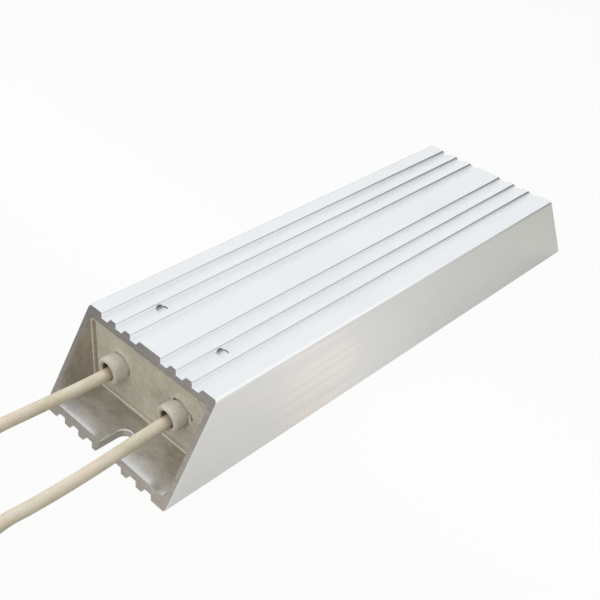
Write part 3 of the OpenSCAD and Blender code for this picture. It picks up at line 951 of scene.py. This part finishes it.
def make_cement(material):
    """The cast block: two uneven faces, and round the bushes a pocket that holds them."""
    step = 0.25
    width = cement_high.x - cement_low.x
    height = cement_high.z - cement_low.z
    across, up = round(width / step), round(height / step)
    bm = bmesh.new()
    # How far each point is opened, for the painted shade in the cement's cracks
    crevice_shade = bm.verts.layers.float.new("crevice_shade")
    borders = []
    for end in (-1, 1):
        grid = []
        for i in range(across + 1):
            x = cement_low.x + width * i / across
            row = []
            for k in range(up + 1):
                z = cement_low.z + height * k / up
                depth, opened = cement_depth(x, z, 3.0 * end, end < 0)
                row.append(bm.verts.new(Vector((x, end * (CEMENT_HALF - depth), z)) * MM))
                row[-1][crevice_shade] = opened
            grid.append(row)
        for i in range(across):
            for k in range(up):
                bm.faces.new((grid[i][k], grid[i + 1][k], grid[i + 1][k + 1], grid[i][k + 1]))
        border = [grid[i][0] for i in range(across)]
        border += [grid[across][k] for k in range(up)]
        border += [grid[i][up] for i in range(across, 0, -1)]
        border += [grid[0][k] for k in range(up, 0, -1)]
        borders.append(border)
    front, rear = borders
    for k in range(len(front)):
        n = (k + 1) % len(front)
        bm.faces.new((front[k], front[n], rear[n], rear[k]))
    for side in (-1, 1):
        axis = Vector((side * BUSH_X, 0, BUSH_Z)) * MM
        reach = (BUSH_R + BORE_R) / 2 * MM
        inside = [f for f in bm.faces if f.calc_center_median().y < 0 and len(f.verts) == 4
                  and max((v.co - axis).xz.length for v in f.verts) < reach]
        made = bmesh.ops.extrude_face_region(bm, geom=inside)
        for element in made["geom"]:
            if isinstance(element, bmesh.types.BMVert):
                element.co.y = (BUSH_BACK - 0.2) * MM  # a little before the bush ends
        bmesh.ops.delete(bm, geom=inside, context="FACES")
    bmesh.ops.recalc_face_normals(bm, faces=bm.faces)
    mesh = bpy.data.meshes.new("cement_block")
    bm.to_mesh(mesh)
    bm.free()
    smooth_by_angle(mesh, 50)
    piece = new_piece("cement_block", mesh, material)
    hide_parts("cement_fill")


def make_bush(name, node, side, material, inside):
    """A hollow shouldered bush with a rounded, slightly uneven rim."""
    long = BUSH_BACK - BUSH_MOUTH
    shoulder_r, shoulder_t = 6.2, 2.0
    rim_r, lip_r, lip_y, bore_y = 1.1, 0.25, 0.35, 0.9
    uneven, uneven_to = 0.05, 6
    profile = [(BORE_R, long), (BORE_R, bore_y)]
    profile += [(BORE_R + lip_r - lip_r * math.cos(a), lip_r - lip_r * math.sin(a) + lip_y)
                for a in (0.4, 1.0, 1.57)]
    profile += arc(BUSH_R - rim_r, rim_r, rim_r, -90, 0, 8)
    profile += [(BUSH_R, y) for y in (2.6, 4.4, 5.3, long - shoulder_t)]
    profile += [(shoulder_r, long - shoulder_t), (shoulder_r, long)]

    def wobble(turn, radius, along):
        place = Vector((math.cos(turn) * 1.6, math.sin(turn) * 1.6, along / 2.2 + 9 * side))
        keep = 0.0 if along > uneven_to else 1.0
        return keep * (uneven * noise.noise(place) - uneven)

    points, faces = lathe(profile, 72, (side * BUSH_X, BUSH_MOUTH, BUSH_Z), wobble)
    piece = add_piece(name, points, faces, material, 40)
    piece.data.materials.append(inside)
    axis = Vector((side * BUSH_X, 0, BUSH_Z)) * MM
    # Faces deep in the bore take the bore material with its painted shade
    for face in piece.data.polygons:
        deep = face.center.y > (BUSH_MOUTH + bore_y) * MM
        face.material_index = int(deep and (face.center - axis).xz.length < (BORE_R + 0.2) * MM)
    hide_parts(node)


# --- Light and floor ---------------------------------------------------------------------

def seen_directly(n):
    """1 for camera, glossy and transmission rays, and 0 for the others."""
    path = n.add("ShaderNodeLightPath")
    total = path.outputs["Is Camera Ray"]
    for name in ("Is Glossy Ray", "Is Transmission Ray"):
        total = n.calculate("MAXIMUM", total, path.outputs[name])
    return total


def put_out(n, kind, first, second, share):
    """Mixes two shaders by the second one's share, into the tree's output."""
    mix = n.add("ShaderNodeMixShader", {0: share, 1: first.outputs[0], 2: second.outputs[0]})
    n.add(kind, {"Surface": mix.outputs[0]})


def make_world():
    """White to the camera and soft to the rest; metal sees it fall off toward the horizon."""
    world = bpy.data.worlds.new("studio")
    world.use_nodes = True
    bpy.context.scene.world = world
    world.node_tree.nodes.clear()
    n = Nodes(world.node_tree, "Generated")
    by_camera = n.add("ShaderNodeLightPath").outputs["Is Camera Ray"]
    tint = n.colours(by_camera, [(0.0, (0.967, 0.985, 1.0)), (1.0, (1.0, 1.0, 1.0))])
    strength = n.calculate("MAXIMUM", n.spread(n.axis("Z"), -0.05, 0.22, 0.35, 1.0), by_camera)
    soft = n.add("ShaderNodeBackground", {"Color": (0.96, 0.98, 1.0), "Strength": 0.58})
    white = n.add("ShaderNodeBackground", {"Color": tint, "Strength": strength})
    put_out(n, "ShaderNodeOutputWorld", soft, white, seen_directly(n))


FLOOR_HALF = 6.0  # in metres
FLOOR_DROP = 0.1  # below the base, in millimetres


def make_floor():
    """A plain pale floor that looks white and keeps the object's shadow. In the metal's
    reflections it is a duller sheet, with a painted pool of light in front of the middle."""
    material = bpy.data.materials.new("floor")
    material.use_nodes = True
    material.node_tree.nodes.clear()
    n = Nodes(material.node_tree)
    rearward = n.along("Y", -100, 500)
    # Painted pool of light for the metal to reflect, brightest a little in front of the middle
    sheet = n.colours(rearward, [
        (0.0, (0.48, 0.45, 0.385)), (0.07, (0.54, 0.505, 0.435)), (0.13, (0.73, 0.68, 0.61)),
        (0.21, (0.535, 0.51, 0.45)), (0.45, (0.44, 0.425, 0.36)), (0.85, (0.23, 0.22, 0.195))])
    duller = n.colours(rearward, [(0.15, (0.52, 0.52, 0.52)), (0.45, (0.80, 0.80, 0.80)),
                                  (0.85, (0.93, 0.93, 0.93))])
    by_metal = n.add("ShaderNodeLightPath").outputs["Is Glossy Ray"]
    white = n.spread(seen_directly(n), 0.0, 1.0, 0.0, 0.95)
    share = n.calculate("SUBTRACT", white, n.product(by_metal, duller))
    matt = n.add("ShaderNodeBsdfDiffuse", {"Color": sheet})
    put_out(n, "ShaderNodeOutputMaterial", matt, n.add("ShaderNodeEmission"), share)
    mesh = bpy.data.meshes.new("floor")
    half = FLOOR_HALF
    mesh.from_pydata([(-half, -half, 0), (half, -half, 0), (half, half, 0), (-half, half, 0)],
                     [], [(0, 1, 2, 3)])
    mesh.materials.append(material)
    floor = new_object("floor", mesh)
    floor.location.z = -FLOOR_DROP * MM


LAMP_SIZE = 0.8  # in metres, as the lamps' places


def make_lamp(name, place, energy, colour):
    """A soft square lamp aimed at the origin, not mirrored in the metal."""
    lamp = bpy.data.lights.new(name, "AREA")
    lamp.shape = "SQUARE"
    lamp.size = LAMP_SIZE
    lamp.energy = energy
    lamp.color = colour
    piece = new_object(name, lamp)
    piece.location = place
    piece.rotation_euler = (-Vector(place)).to_track_quat("-Z", "Y").to_euler()
    piece.visible_glossy = False


# --- The scene ---------------------------------------------------------------------------

make_camera()

silicone = lead_silicone()
tin = plated_metal("tinned_copper", (0.60, 0.60, 0.61), (0.80, 0.80, 0.80), 0.28)
shrink = heat_shrink()
LEADS = (
    ("left", -1, RUN_LEFT, COIL_LEFT, START_LEFT),
    ("right", 1, RUN_RIGHT, COIL_RIGHT, START_RIGHT),
)
for hand, side, run, centre, start in LEADS:
    lead = make_lead("wire_" + hand, lead_route(side, run, centre, start), silicone)
    lug = make_lug("ring_terminal_" + hand, centre, tin)
    sleeve = make_sleeve("shrink_sleeve_" + hand, centre, shrink)
    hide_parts("lead_" + hand)
    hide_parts("lug_" + hand)
    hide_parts("lug_sleeve_" + hand)

make_housing(drawn_aluminium(), sawn_aluminium(), cavity_aluminium(), groove_aluminium())
make_liner(liner_sheet())
make_cement(cement())
ceramic = bush_ceramic()
bore = bush_bore()
for hand, side in (("left", -1), ("right", 1)):
    make_bush("hollow_bush_" + hand, "bush_" + hand, side, ceramic, bore)

# The hidden solids keep their own meshes and only get a material
CARRIED_OVER = {
    ("core_left", "core_right"): core_ceramic(),
    ("winding_left", "winding_right"): plated_metal(
        "resistance_wire", (0.16, 0.15, 0.15), (0.30, 0.28, 0.27), 0.45, (0.5, 4.0, 0.5)),
    ("front_cap_left", "front_cap_right", "rear_cap_left", "rear_cap_right"): plated_metal(
        "cap_plating", (0.50, 0.48, 0.43), (0.68, 0.66, 0.60), 0.35),
    ("rear_link", "splice_left", "splice_right"): plated_metal(
        "plain_brass", (0.58, 0.42, 0.17), (0.76, 0.60, 0.30), 0.32),
}
for names, material in CARRIED_OVER.items():
    for name in names:
        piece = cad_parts[name]
        if not piece.material_slots:
            piece.data.materials.append(material)
        for material_slot in piece.material_slots:
            material_slot.material = material

make_world()
make_floor()
make_lamp("key", (-0.4, 0.2, 1.1), 6.0, (0.99, 0.99, 1.0))
make_lamp("fill", (0.3, -0.85, 0.85), 4.0, (1.0, 0.99, 0.97))
bpy.context.scene.view_settings.view_transform = "Standard"
